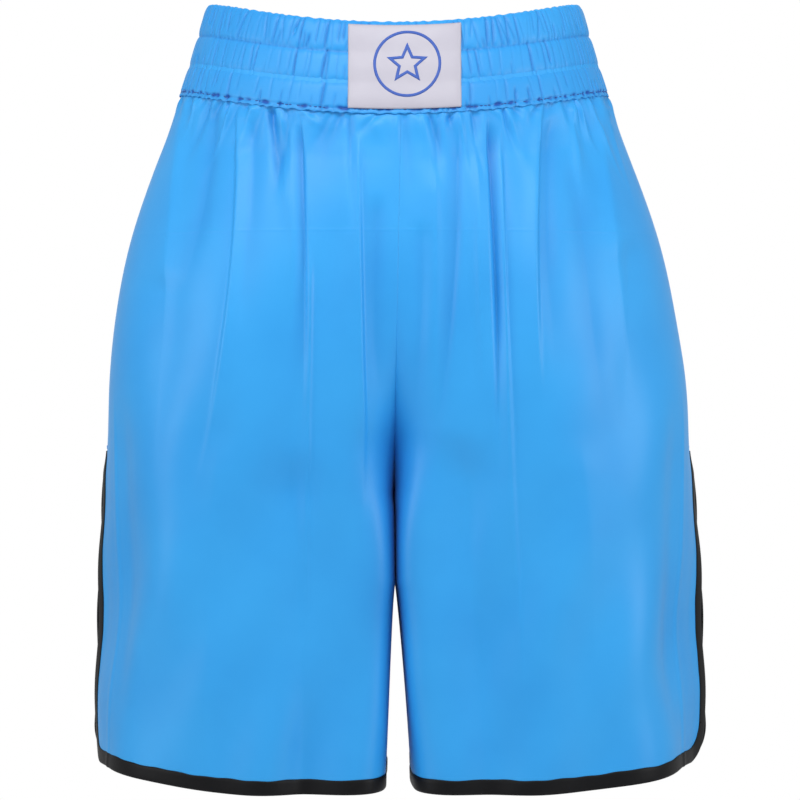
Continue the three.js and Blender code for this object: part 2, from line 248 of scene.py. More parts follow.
# Main folds of the front: place at the top, middle and bottom, the distances down where they start and
# end, width at the top and bottom, height (below 0 for a hollow) and skew, in mm
FRONT_FOLDS = [
    (-101, -106, -130, 60, 330, 3.6, 7, 2.8, 0.7),
    (-92, -96, -114, 62, 270, 5, 11, -1.8, 0.0),
    (-81, -77, -73, 60, 118, 2.6, 4.5, -3.4, 0.5),
    (-72, -70, -66, 60, 150, 3, 5, 1.6, 0.0),
    (-61, -57, -60, 60, 300, 3.0, 6, -3.4, -0.7),
    (-67, -64, -67, 62, 250, 4.5, 9, 2.0, 0.4),
    (-53, -55, -55, 150, 470, 3.4, 6, 1.8, -0.6),
    (-31, -29, -27, 60, 150, 2.6, 5, -2.4, 0.4),
    (-25, -23, -19, 66, 375, 5, 9, 3.2, -0.75),
    (-13, -13, -6, 110, 300, 5, 9, -1.6, 0.0),
    (24, 25, 26, 90, 330, 6, 11, 2.0, -0.4),
    (14, 15, 10, 130, 300, 6, 10, -1.6, 0.3),
    (40, 35, 18, 66, 330, 4, 8, -2.2, -0.4),
    (52, 55, 59, 62, 290, 6, 8, 2.4, 0.4),
    (60, 65, 67, 60, 320, 3.6, 5, -5.0, 0.6),
    (68, 74, 83, 66, 470, 3.2, 6, 2.8, -0.7),
    (95, 91, 95, 60, 270, 3.2, 5, 2.8, -0.7),
    (103, 99, 105, 62, 250, 5, 9, -2.0, 0.0),
    (115, 119, 124, 60, 140, 3, 5, 2.6, 0.3),
    (133, 145, 160, 60, 290, 5, 11, 2.4, 0.4),
    (-138, -149, -158, 60, 310, 5, 12, 2.4, -0.4),
    (-118, -124, -142, 60, 200, 4, 8, -2.2, 0.0),
    (118, 128, 142, 90, 330, 7, 12, -1.8, 0.0),
    (-60, -58, -46, 290, 640, 16, 26, -5.5, 0.0),
    (-112, -122, -116, 280, 600, 14, 20, 2.0, 0.0),
    (40, 52, 66, 280, 640, 18, 28, -6.0, 0.0),
    (118, 128, 122, 280, 600, 14, 22, 2.0, 0.0),
    (-150, -152, -150, 170, 360, 12, 16, -2.6, 0.0),
    (152, 150, 150, 150, 330, 12, 16, -2.6, 0.0),
]

BROAD_FOLD = 14  # a fold that grows at least this wide, in mm, is a broad one

WAIST_RADIUS = 118 * MM
GATHER_STEP = 4.8 * MM
GATHER_SHORTEST, GATHER_LONGER = 10, 75  # the reach of the shortest in mm, and how much more the longest has


def turns_round(rng, radius, step, jitter):
    """Turns right round a circle, about a step apart along it, each moved by up to a share of the step."""
    count = int(2 * np.pi * radius / step)
    return (np.arange(count) + rng.uniform(-jitter, jitter, count)) * 2 * np.pi / count


def turn_apart(a, b):
    """How far apart two turns are, the short way round."""
    return np.abs((a - b + np.pi) % (2 * np.pi) - np.pi)


def gathers(seed):
    """The short folds in which the cloth springs from the waist seam, drawn at random right round it: turn,
    reach down, width, height and lean."""
    rng = np.random.default_rng(seed)
    turns = turns_round(rng, WAIST_RADIUS, GATHER_STEP, 0.45)
    count = len(turns)
    reach = (GATHER_SHORTEST + GATHER_LONGER * rng.random(count) ** 2.0) * MM
    width = rng.uniform(1.1, 3.0, count) * MM / WAIST_RADIUS
    height = rng.choice([-1.2, 1], count) * rng.uniform(0.7, 2.3, count) * MM
    lean = rng.normal(0, 0.05, count)
    return np.stack([turns, reach, width, height, lean])


GATHERS = gathers(17)


def gather_height(turn, down):
    """The sum of the gathers: each a soft ridge or hollow that widens as it runs down and fades out."""
    total = np.zeros_like(turn)
    near = down < BAND + (GATHER_SHORTEST + GATHER_LONGER) * MM
    t, d = turn[near][:, None], (down[near] - BAND)[:, None]
    place, reach, width, height, lean = GATHERS[:, None, :]
    share = np.clip(d / reach, 0, 1)
    apart = turn_apart(t, place + lean * share)
    fade = ramp(d, -4 * MM, 7 * MM) * (1 - smooth(share))
    total[near] = np.sum(height * fade * bell(apart, width * (1 + 1.4 * share)), 1)
    return total


def long_folds(seed):
    """The back's own main folds, at random places about 23 mm apart, in the form of FRONT_FOLDS."""
    rng = np.random.default_rng(seed)
    folds = []
    for x in np.arange(-150, 151, 23) + rng.uniform(-7, 7, 14):
        lean = 0.12 * x + rng.normal(0, 3)
        bottom = rng.uniform(130, 300)
        width = rng.uniform(3, 5)
        height = rng.choice([-1.3, 1]) * rng.uniform(1.2, 2.4)
        folds.append((x, x + lean * 0.5, x + lean, 60, bottom, width, width * 2.2, height, 0.0))
    return folds


FOLDS = {FRONT: FRONT_FOLDS, BACK: long_folds(5)}


def waves(seed, count, lengths, tilt):
    """Directions, phases and strengths for slow undulations of the given wavelengths."""
    rng = np.random.default_rng(seed)
    k = 2 * np.pi / rng.uniform(*lengths, count)
    turn = rng.normal(0, tilt, count)
    return k * np.cos(turn), k * np.sin(turn), rng.uniform(0, 2 * np.pi, count), rng.uniform(0.5, 1, count)


DRAPE = {
    FRONT: waves(3, 12, (45 * MM, 130 * MM), 0.35),
    BACK: waves(8, 10, (55 * MM, 140 * MM), 0.3),
}
DRAPE_HEIGHT = 1.3 * MM


def fold_height(face, x, down):
    """How far the cloth stands out of its plain skin, as two heights: the sum of its sharp folds, and that
    of its broad ones with slow undulations that grow towards the hem."""
    sharp, broad = np.zeros_like(x), np.zeros_like(x)
    for top_x, mid_x, low_x, top, bottom, thin, thick, height, skew in FOLDS[face]:
        near = (down > top * MM) & (down < bottom * MM)
        if not near.any():
            continue
        d = down[near]
        t = (d / MM - top) / (bottom - top)
        # the parabola through the fold's three places
        line = top_x * (1 - t) * (1 - 2 * t) + mid_x * 4 * t * (1 - t) + low_x * t * (2 * t - 1)
        width = thin + (thick - thin) * t
        across = x[near] / MM - line
        kind = sharp if thick < BROAD_FOLD else broad
        kind[near] += height * MM * along_fold(d / MM, top, bottom) * ridge(across, width, skew)
    kx, kd, phase, share = DRAPE[face]
    grow = ramp(down, BAND, CAD_HEM - BAND)
    for a, b, p, s in zip(kx, kd, phase, share):
        broad += DRAPE_HEIGHT * s * grow * np.sin(a * x + b * down + p)
    return sharp, broad


def inside_leg(angle, down):
    """1 on the inner side of a leg, where the cloth lies without folds, and 0 elsewhere."""
    return ramp(angle, 0.62 * np.pi, 0.22 * np.pi) * ramp(down, 230 * MM, 80 * MM)


def fold_depth(side, face, angle, down):
    """The height of all folds and gathers at a place on a panel, and of the sharp ones alone. Towards the
    side seam and the inside of the leg the folds die out, so that front and back meet."""
    a, b, centre, exponents, _ = section(down)
    c, s = oval(angle, exponents)
    plain_x, plain_y = side * (centre + a * c), b * s
    calm = ramp(plain_y, 0, 22 * MM) * (1 - inside_leg(angle, down))
    turn = np.arctan2(-face * plain_y / b, plain_x / (centre + a))
    free = ramp(down, BAND - 3 * MM, 7 * MM)
    sharp, broad = fold_height(face, plain_x, down)
    sharp = free * (sharp * calm + gather_height(turn, down))
    return sharp + free * broad * calm, sharp


def relief(side, face, angle, down, from_seam, plain_y):
    """How far the cloth stands out of its plain oval. It is the folds' height and a puff under the band,
    less a groove along each seam, and round the vent a loose wave, a pressed crease with a shallow hollow
    beyond it, and an edge that lifts."""
    puff = PUFF_HEIGHT * bell(down - BAND - PUFF_DOWN, 9 * MM)
    groove = 0.3 * bell(from_seam, 1.4 * MM) + bell(plain_y, 1.8 * MM) * (down < VENT)
    free = 1 - inside_leg(angle, down)
    loose = ramp(down, VENT, 50 * MM) * np.exp(-plain_y / (25 * MM)) * free
    wave = EDGE_WAVE * loose * np.sin(down / (13 * MM) + 2 * face)
    pressed = ramp(down, FLARE_TOP, 60 * MM) * free * (np.cos(angle) > 0)
    crease = CREASE_HEIGHT * pressed * bell(plain_y - CREASE_Y, 3 * MM)
    above_hem = 1 - ramp(down, CAD_HEM - 90 * MM, 60 * MM)
    hollow = HOLLOW_DEPTH * pressed * above_hem * bell(plain_y - CREASE_Y - 17 * MM, 12 * MM)
    lift = EDGE_LIFT * pressed * np.exp(-plain_y / (7 * MM)) * ramp(down, VENT, 15 * MM)
    folds = fold_depth(side, face, angle, down)[0]
    return puff + folds - GROOVE_DEPTH * groove + wave + crease - hollow + lift


def skin(side, face, angle, down, offset=0.0, folded=True):
    """The cloth's middle surface. Across, it is the leg's oval, moved out by its relief, though at the seam
    only forwards, so that its edge stays on the middle plane. Down, it is the rim's height less the
    distance down and the dip of the rim, which fades out towards the crotch."""
    angle, down = np.broadcast_arrays(np.asarray(angle, float), np.asarray(down, float))
    a, b, centre, exponents, flare = section(down)
    c, s = oval(angle, exponents)
    stand, held = np.zeros_like(angle), 0.0
    if folded:
        from_seam = (seam_angle(down) - angle) * a
        held = bell(from_seam, 5 * MM)
        stand = relief(side, face, angle, down, from_seam, b * s)
    x = centre + (a + offset + stand * (1 - held)) * c
    y = (b + offset + stand) * s
    away = np.maximum(0, 1 - np.sqrt(y**2 + (0.8 * MM) ** 2) / CREASE_Y)
    x = x + flare * away * (np.cos(angle) > 0)
    dip = np.where(face == FRONT, FRONT_DIP, BACK_DIP) * s**2
    z = RIM_Z - down - dip * (1 - ramp(down, BAND, CROTCH - BAND))
    y = face * y
    legs = ramp(down, CROTCH, 12 * MM)
    x = side * np.maximum(x, SEAM_GAP + (LEG_GAP - SEAM_GAP) * legs)
    sway = LEG_SWAY * legs * np.sin(y / SWAY_LENGTH) * bell(x, 30 * MM)
    sway = sway + GAP_LEAN * ramp(down, CROTCH, CAD_HEM - CROTCH) * bell(x, 60 * MM)
    leaning = LEAN * ramp(down, LEAN_TOP, LEAN_LENGTH) * (x / (centre + a)) ** 2
    if face == FRONT:
        above = np.clip((CROTCH - down) / (CROTCH - BAND), 0, 1)
        sway = sway + SEAM_LEAN * above * bell(x, 40 * MM)
    return np.stack([x + sway + leaning, y, z], -1)


def band_skin(turn, down, offset):
    """The waistband's surface all the way round; a quarter turn is the front's middle."""
    a, b, _, _, _ = section(down)
    dip = np.where(np.sin(turn) > 0, FRONT_DIP, BACK_DIP) * np.sin(turn) ** 2
    return np.stack([(a + offset) * np.cos(turn), -(b + offset) * np.sin(turn), RIM_Z - down - dip], -1)


# ---------------------------------------------------------------- meshes
def normals_of(grid):
    """Unit normals of a grid of points, from its differences along rows and columns."""
    n = np.cross(np.gradient(grid, axis=1), np.gradient(grid, axis=0))
    return n / np.maximum(np.linalg.norm(n, axis=-1, keepdims=True), 1e-12)


def quads(rows, columns, closed_rows=False, closed_columns=False):
    """Corner numbers of a grid's faces, with its ends joined where it closes on itself."""
    r = np.arange(rows if closed_rows else rows - 1)[:, None]
    c = np.arange(columns if closed_columns else columns - 1)[None, :]
    r2, c2 = (r + 1) % rows, (c + 1) % columns
    corners = [r * columns + c, r * columns + c2, r2 * columns + c2, r2 * columns + c]
    return np.stack([q.ravel() for q in corners], -1)


def add_mesh(name, points, faces, material, uv=None, painted_shade=None):
    """An object from points and quads or triangles, with an optional UV for each point, and an optional
    painted shade for each point, from 0 to 1, kept as a point attribute that darkens the colour."""
    mesh = bpy.data.meshes.new(name)
    points = np.ascontiguousarray(points.reshape(-1, 3), np.float32)
    faces = np.asarray(faces, np.int32)
    mesh.vertices.add(len(points))
    mesh.vertices.foreach_set("co", points.ravel())
    mesh.loops.add(faces.size)
    mesh.loops.foreach_set("vertex_index", faces.ravel())
    mesh.polygons.add(len(faces))
    mesh.polygons.foreach_set("loop_start", np.arange(0, faces.size, faces.shape[1], dtype=np.int32))
    mesh.polygons.foreach_set("use_smooth", np.ones(len(faces), bool))
    if uv is not None:
        layer = mesh.uv_layers.new(name="UVMap")
        layer.data.foreach_set("uv", uv.reshape(-1, 2)[faces.ravel()].astype(np.float32).ravel())
    # Painted shade, stored as a point attribute that the satin's colour darkens by
    if painted_shade is not None:
        layer = mesh.attributes.new("painted_shade", "FLOAT", "POINT")
        layer.data.foreach_set("value", painted_shade.ravel().astype(np.float32))
    mesh.update()
    mesh.validate()
    mesh.materials.append(material)
    thing = bpy.data.objects.new(name, mesh)
    bpy.context.scene.collection.objects.link(thing)
    return thing


def signed_volume(points, faces):
    """Six times the volume inside the faces, below 0 where they point inwards."""
    p = points.reshape(-1, 3)
    total = 0.0
    for i in range(1, faces.shape[1] - 1):
        a, b, c = p[faces[:, 0]], p[faces[:, i]], p[faces[:, i + 1]]
        total += np.einsum("ij,ij->", a, np.cross(b, c))
    return total


def outwards(points, faces):
    """The faces, turned round if they enclose their volume inside out."""
    return faces[:, ::-1] if signed_volume(points, faces) < 0 else faces


def cloth(name, grid, uv, material, thickness=CLOTH, painted_shade=None):
    """A sheet with real thickness: the grid, the same grid moved along its normals, and the rim."""
    rows, columns = grid.shape[:2]
    normal = normals_of(grid)
    points = np.concatenate([(grid + normal * thickness / 2), (grid - normal * thickness / 2)])
    count = rows * columns
    front = quads(rows, columns)
    index = np.arange(count).reshape(rows, columns)
    rim = np.concatenate([index[0, :], index[1:, -1], index[-1, -2::-1], index[-2:0:-1, 0]])
    nxt = np.roll(rim, -1)
    edge = np.stack([nxt, rim, rim + count, nxt + count], -1)
    faces = np.concatenate([front, front[:, ::-1] + count, edge])
    painted_shade = None if painted_shade is None else np.concatenate([painted_shade, painted_shade])
    return add_mesh(name, points, outwards(points, faces), material, np.concatenate([uv, uv]), painted_shade)


def ring(name, loop, uv, material, painted_shade=None):
    """A tube closed both ways: columns go round the waist, and rows round its section."""
    rows, columns = loop.shape[:2]
    faces = quads(rows, columns, closed_rows=True, closed_columns=True)
    return add_mesh(name, loop, outwards(loop, faces), material, uv, painted_shade)


STITCH_AROUND = 6
STITCH_STATIONS = np.array([[-0.5, 0.25], [-0.28, 1.0], [0.28, 1.0], [0.5, 0.25]])


def stitches(name, centres, along, out, length, width, material):
    """A row of stitches, each a short rounded bar: six points round its line at four stations."""
    along = unit(along)
    out = unit(out - along * np.sum(out * along, -1, keepdims=True))
    across = np.cross(along, out)
    turn = np.arange(STITCH_AROUND) * 2 * np.pi / STITCH_AROUND
    place, share = STITCH_STATIONS[:, 0], STITCH_STATIONS[:, 1]
    axial = along[:, None, None] * (place * length)[None, :, None, None]
    circle = across[:, None, None] * np.cos(turn)[:, None] + out[:, None, None] * np.sin(turn)[:, None]
    points = centres[:, None, None] + axial + circle * (share * width / 2)[None, :, None, None]
    stations = len(STITCH_STATIONS)
    body = quads(stations, STITCH_AROUND, closed_columns=True)
    first = np.arange(STITCH_AROUND)[::-1]
    last = first[::-1] + (stations - 1) * STITCH_AROUND
    halves = [[0, 1, 2, 3], [0, 3, 4, 5]]
    caps = np.array([cap[h] for cap in (first, last) for h in halves])
    one = np.concatenate([body, caps])
    one = outwards(points[0], one)
    step = stations * STITCH_AROUND
    faces = (one[None] + np.arange(len(centres))[:, None, None] * step).reshape(-1, 4)
    return add_mesh(name, points, faces, material)


# ---------------------------------------------------------------- materials
def linear(hex_colour):
    """An sRGB hex colour as linear RGBA."""
    c = np.array([int(hex_colour[i : i + 2], 16) for i in (1, 3, 5)]) / 255
    c = np.where(c <= 0.04045, c / 12.92, ((c + 0.055) / 1.055) ** 2.4)
    return (*c, 1.0)


def node(tree, kind, links=None, **settings):
    """A node with its settings; links sets each input by name or number, from a socket or a value."""
    made = tree.nodes.new(kind)
    for key, value in settings.items():
        setattr(made, key, value)
    for key, value in (links or {}).items():
        if isinstance(value, bpy.types.NodeSocket):
            tree.links.new(value, made.inputs[key])
        else:
            made.inputs[key].default_value = value
    return made


def material(name):
    """A new material with its tree and its Principled shader."""
    made = bpy.data.materials.new(name)
    made.use_nodes = True
    return made, made.node_tree, made.node_tree.nodes["Principled BSDF"]


def finish_shader(tree, shader, colour, roughness, normal, **sockets):
    """Links the shader's colour, roughness and normal, and sets its other sockets."""
    for key, value in (("Base Color", colour), ("Roughness", roughness), ("Normal", normal)):
        if isinstance(value, bpy.types.NodeSocket):
            tree.links.new(value, shader.inputs[key])
        elif value is not None:
            shader.inputs[key].default_value = value
    for key, value in sockets.items():
        shader.inputs[key.replace("_", " ")].default_value = value


def uv_place(tree):
    """The place on the cloth in metres, from the piece's UV."""
    return node(tree, "ShaderNodeUVMap", uv_map="UVMap").outputs["UV"]


def body_place(tree):
    """The place in space in metres."""
    return node(tree, "ShaderNodeTexCoord").outputs["Object"]


def stretched(tree, place, scale, turn=0.0):
    """The place scaled along each axis and turned, for a texture that is longer one way."""
    settings = {"Vector": place, "Rotation": (0, 0, turn), "Scale": scale}
    return node(tree, "ShaderNodeMapping", settings).outputs[0]


def noise(tree, place, scale, detail=2.0):
    """Soft cloudy noise from 0 to 1."""
    settings = {"Vector": place, "Scale": scale, "Detail": detail}
    return node(tree, "ShaderNodeTexNoise", settings).outputs["Fac"]


def wave(tree, place, pitch, direction, **settings):
    """Parallel bands about two pitches apart, a little distorted."""
    settings = {"Vector": place, "Scale": 1 / pitch / WAVE_TURN, **settings}
    return node(tree, "ShaderNodeTexWave", settings, bands_direction=direction).outputs["Fac"]


def remap(tree, value, low, high, start=0.0, end=1.0, **settings):
    """The value's stretch from start to end as one from low to high."""
    ends = {"Value": value, "From Min": start, "From Max": end, "To Min": low, "To Max": high}
    return node(tree, "ShaderNodeMapRange", ends, **settings).outputs[0]


def blend_colours(tree, factor, dark, light):
    """A mix of two colours, each a hex value or a socket."""
    ends = [linear(c) if isinstance(c, str) else c for c in (dark, light)]
    mixed = node(tree, "ShaderNodeMix", {"Factor": factor, 6: ends[0], 7: ends[1]}, data_type="RGBA")
    return mixed.outputs[2]


def bumped(tree, height, strength, distance, under=None):
    """A normal roughened by the height, on top of another where one is given."""
    settings = {"Height": height, "Strength": strength, "Distance": distance}
    if under is not None:
        settings["Normal"] = under
    return node(tree, "ShaderNodeBump", settings).outputs[0]


WAVE_TURN = 6.283  # divides a wave texture's scale, whose phase is 20 times the scaled place
FLOAT_SCALE = (1650, 330, 1)  # floats about 0.6 by 3 mm; the real ones are a fifth of that
BIAS_SCALE = (1500, 420, 1)
PRESS_LINE_Z = -124 * MM
PRESS_LINE_WIDTH = 1.6 * MM


def satin():
    """Woven satin, warp floats up: a soft broad highlight, and a grain so fine that it is drawn coarser."""
    made, tree, shader = material("blue_woven_satin")
    body = body_place(tree)
    grain = noise(tree, stretched(tree, uv_place(tree), FLOAT_SCALE), 1.0)
    mottled = remap(tree, noise(tree, body, 14.0, 3.0), 0.0, 1.0, 0.3, 0.7)
    colour = blend_colours(tree, mottled, "#2d9ae4", "#33a2ea")
    # Painted shade: the colour darkens towards a deep blue by a point attribute, strongest in the casing's
    # pleats and pits, in the hollows of sharp folds and between the legs
    painted_shade = node(tree, "ShaderNodeAttribute", attribute_name="painted_shade").outputs["Fac"]
    colour = blend_colours(tree, painted_shade, colour, "#0f4fa8")
    # A crease pressed across the cloth where it lay folded in its parcel
    height = node(tree, "ShaderNodeSeparateXYZ", {"Vector": body}).outputs["Z"]
    apart = node(tree, "ShaderNodeMath", {0: height, 1: PRESS_LINE_Z}, operation="SUBTRACT").outputs[0]
    apart = node(tree, "ShaderNodeMath", {0: apart}, operation="ABSOLUTE").outputs[0]
    crease = remap(tree, apart, 1.0, 0.0, 0.0, PRESS_LINE_WIDTH, interpolation_type="SMOOTHSTEP")
    pressed = bumped(tree, crease, 0.2, 0.3 * MM)
    normal = bumped(tree, grain, 0.12, 0.2 * MM, pressed)
    sheen = {"Sheen_Weight": 0.03, "Sheen_Roughness": 0.4, "Specular_IOR_Level": 0.35}
    finish_shader(tree, shader, colour, remap(tree, grain, 0.36, 0.5), normal, **sheen)
    return made


def black_satin():
    """Bias-cut satin tape: near black, with the weave lying across the strip at 45 degrees."""
    made, tree, shader = material("black_bias_satin")
    grain = noise(tree, stretched(tree, uv_place(tree), BIAS_SCALE, np.pi / 4), 1.0)
    colour = blend_colours(tree, grain, "#050507", "#0c0d11")
    normal = bumped(tree, grain, 0.2, 0.2 * MM)
    finish_shader(tree, shader, colour, remap(tree, grain, 0.38, 0.6), normal, Specular_IOR_Level=0.2)
    return made


def yarn(name, dark, light, pitch):
    """Twisted polyester thread: fine slanted bands of its ply, a little shine."""
    made, tree, shader = material(name)
    ply = wave(tree, body_place(tree), pitch, "DIAGONAL", Distortion=1.5)
    colour = blend_colours(tree, ply, dark, light)
    finish_shader(tree, shader, colour, 0.5, bumped(tree, ply, 0.3, 0.1 * MM))
    return made


def ribbon(name, dark, light, rib, roughness, place_of=uv_place):
    """A woven ribbon: fine ribs across it, and a little unevenness of colour."""
    made, tree, shader = material(name)
    place = place_of(tree)
    ribs = wave(tree, place, rib, "Y", Distortion=0.6, Detail=1.0)
    colour = blend_colours(tree, noise(tree, place, 60.0, 4.0), dark, light)
    finish_shader(tree, shader, colour, roughness, bumped(tree, ribs, 0.15, 0.1 * MM), Sheen_Weight=0.1)
    return made


def printed_ink():
    """Screen-printed ink: matt, with the ribbon's grain showing through as slightly thinner colour."""
    made, tree, shader = material("blue_printed_ink")
    colour = blend_colours(tree, noise(tree, body_place(tree), 900.0), "#2c4da6", "#4469bd")
    finish_shader(tree, shader, colour, 0.6, None)
    return made


def matt(name, hex_colour):
    """A plain painted surface with a faint unevenness, for the studio floor."""
    made, tree, shader = material(name)
    rough = remap(tree, noise(tree, body_place(tree), 3.0), 0.8, 0.9)
    finish_shader(tree, shader, linear(hex_colour), rough, None)
    return made


SATIN = satin()
BLACK = black_satin()
BLUE_THREAD = yarn("blue_thread", "#2374c4", "#3b97e6", 0.25 * MM)
NAVY_THREAD = yarn("navy_thread", "#173f86", "#2457a6", 0.25 * MM)
LABEL = ribbon("label_satin", "#b0adbb", "#bab8c4", 0.35 * MM, 0.42)
CARE = ribbon("care_ribbon", "#ecebe7", "#f6f5f2", 0.4 * MM, 0.55)
ELASTIC = ribbon("woven_elastic", "#dedcd6", "#f0eee9", 0.9 * MM, 0.8, body_place)
INK = printed_ink()

# ---------------------------------------------------------------- waistband
BAND_STEPS = 1400
BAND_RADIUS = 130 * MM  # the band's mean radius, which turns lengths round it into angles
CASING_STAND = 0.9 * MM  # how far a stitched row of the casing stands out of the frame's middle skin
CASING_INSIDE = -1.7 * MM
PUFF = 1.7 * MM
MOST_CUT, MOST_PIT = 2.4 * MM, 2.6 * MM
CLOSE_TUCKS = 153  # short tucks right round the band beside each row of stitches
CLOSE_DEPTH = 0.6 * MM
SEAM_UP = 2.6 * MM  # how far above the band's lower edge it is sewn to the panels
# For each channel: pleats' spacing, deepest, narrowest and widest, lean, all mm, and the share that
# runs the channel's full height
CHANNEL_PLEATS = [
    (4.0, 1.6, 0.5, 1.1, 1.6, 0.6),
    (5.8, 1.8, 0.4, 0.9, 0.5, 0.85),
    (7.0, 1.7, 0.5, 1.2, 0.8, 0.5),
]
GATHER_SPACING = 8.5 * MM


def pleats(seed, spacing, deepest, narrow, broad, lean, full):
    """One channel's pleats at random: turn round the band, depth, width, lean, and where each starts and
    ends as shares of the channel's height."""
    rng = np.random.default_rng(seed)
    turns = turns_round(rng, BAND_RADIUS, spacing * MM, 0.4)
    count = len(turns)
    depth = (0.15 + 0.85 * rng.random(count) ** 1.3) * deepest * MM
    width = rng.uniform(narrow, broad, count) * MM / BAND_RADIUS
    slant = rng.normal(0, lean, count) * MM / BAND_RADIUS
    short = rng.random(count) > full
    from_top = rng.random(count) < 0.5
    start = np.where(short & ~from_top, rng.uniform(0.3, 0.6, count), -0.3)
    end = np.where(short & from_top, rng.uniform(0.4, 0.7, count), 1.3)
    return np.stack([turns, depth, width, slant, start, end])


def puckers(seed):
    """Where the gathered seam below the band draws small pits into it: turn, height, length and depth."""
    rng = np.random.default_rng(seed)
    turns = turns_round(rng, BAND_RADIUS, GATHER_SPACING, 0.45)
    count = len(turns)
    up = rng.uniform(2.2, 3.2, count) * MM
    length = rng.uniform(1.0, 2.6, count) * MM / BAND_RADIUS
    return np.stack([turns, up, length, rng.uniform(0.35, 1.0, count) * 2.4 * MM])


PLEATS = [pleats(31 + i, *numbers) for i, numbers in enumerate(CHANNEL_PLEATS)]
PUCKERS = puckers(41)


def ruching_parts(turn, down):
    """How far the casing's face swells out of its stitched rows, how deep its pleats cut into that, and how
    deep the gathers below pit its last rows. With v from 0 to 1 down a channel, the swell goes as
    (1 - (2v - 1)^4)^0.6. A pleat has the shape exp(-|distance / width|^1.2), and a pit is a round bell."""
    channel = np.clip((down / CHANNEL).astype(int), 0, 2)
    v = down / CHANNEL - channel
    swell = PUFF * (1 - (2 * v - 1) ** 4) ** 0.6
    # the last channel stays full down to its own edge, but for its row of stitches
    swell = np.where((channel == 2) & (v > 0.5), PUFF * (1 - 0.25 * np.clip(2 * v - 1, 0, 1) ** 3), swell)
    swell = swell - 0.6 * MM * bell(BAND - down - SEAM_UP, 0.8 * MM)
    cut, pit = np.zeros_like(turn), np.zeros_like(turn)
    for which, numbers in enumerate(PLEATS):
        here = channel == which
        if not here.any():
            continue
        t, vv = turn[here][:, None], v[here][:, None]
        place, depth, width, lean, start, end = numbers[:, None, :]
        apart = turn_apart(t, place + lean * (vv - 0.5) * 2)
        reach = ramp(vv, start, 0.25) * (1 - ramp(vv, end, 0.25))
        cut[here] = np.sum(depth * reach * np.exp(-((apart / width) ** 1.2)), 1)
        # next to the stitches the cloth is drawn into short close tucks
        row = np.exp(-np.minimum(vv, 1 - vv) * CHANNEL / (1.5 * MM))[:, 0]
        close = 0.5 + 0.5 * np.cos(turn[here] * CLOSE_TUCKS + 3 * np.sin(turn[here] * 29))
        cut[here] += CLOSE_DEPTH * row * close**3
    low = down > BAND - 8 * MM
    if low.any():
        t, d = turn[low][:, None], down[low][:, None]
        place, up, length, depth = PUCKERS[:, None, :]
        apart = turn_apart(t, place) / length
        pit[low] = np.sum(depth * np.exp(-(apart**2) - ((BAND - d - up) / (1.2 * MM)) ** 2), 1)
    cut *= 0.5 + 0.5 * np.sin(np.pi * np.clip(v, 0, 1)) ** 0.6
    return swell, np.minimum(cut, MOST_CUT), np.minimum(pit, MOST_PIT)


def ruching(turn, down):
    """The height of the casing's face. A pit is shallow, so that the wall behind it stays hidden, and
    looks deep by painted shade: a darker blue in its colour."""
    swell, cut, pit = ruching_parts(turn, down)
    return swell - cut - 0.25 * pit


def casing_painted_shade(turn, down):
    """The painted shade of a point of the casing's face, from 0 to 1: a little everywhere, more in its
    pleats and pits and along its stitched rows.
    """
    _, cut, pit = ruching_parts(turn, down)
    stitched = bell(down - CHANNEL, 0.5 * MM) + bell(down - 2 * CHANNEL, 0.5 * MM)
    return np.clip(0.1 + 0.28 * cut / MM + 0.675 * pit / MM + 0.25 * stitched, 0, 1)


def scallop(turn):
    """The rim's and the lower edge's small unevenness, drawn in by the elastic."""
    return 0.30 * MM * np.sin(turn * 118 + 2 * np.sin(turn * 17)) + 0.18 * MM * np.sin(turn * 71 + 1)


def casing_face(turn, down, stand=0.0):
    """A point of the casing's outer face."""
    place = band_skin(turn, down, CASING_STAND + ruching(turn, down) + stand)
    edge = np.exp(-down / (3 * MM)) + np.exp(-(BAND - down) / (2.5 * MM))
    place[..., 2] += scallop(turn) * edge
    return place


FACE_ROWS = np.concatenate(
    [
        [0.5, 1.2, 2.2, 3.3],
        np.arange(4.6, BAND / MM - 5, 1.3),
        np.arange(BAND / MM - 5, BAND / MM, 0.7),
        [BAND / MM],
    ]
) * MM
INNER_ROWS = np.linspace(1.6 * MM, BAND, 9)
ROLL_ANGLES = np.linspace(0, np.pi, 7)[1:-1]
ROLL_RISE = 1.1 * MM
ROLL_RADIUS = 1.5 * MM
CASING_CLOTH = 0.4 * MM  # the thickness of the lining side
FACE_CLOTH = 0.6 * MM


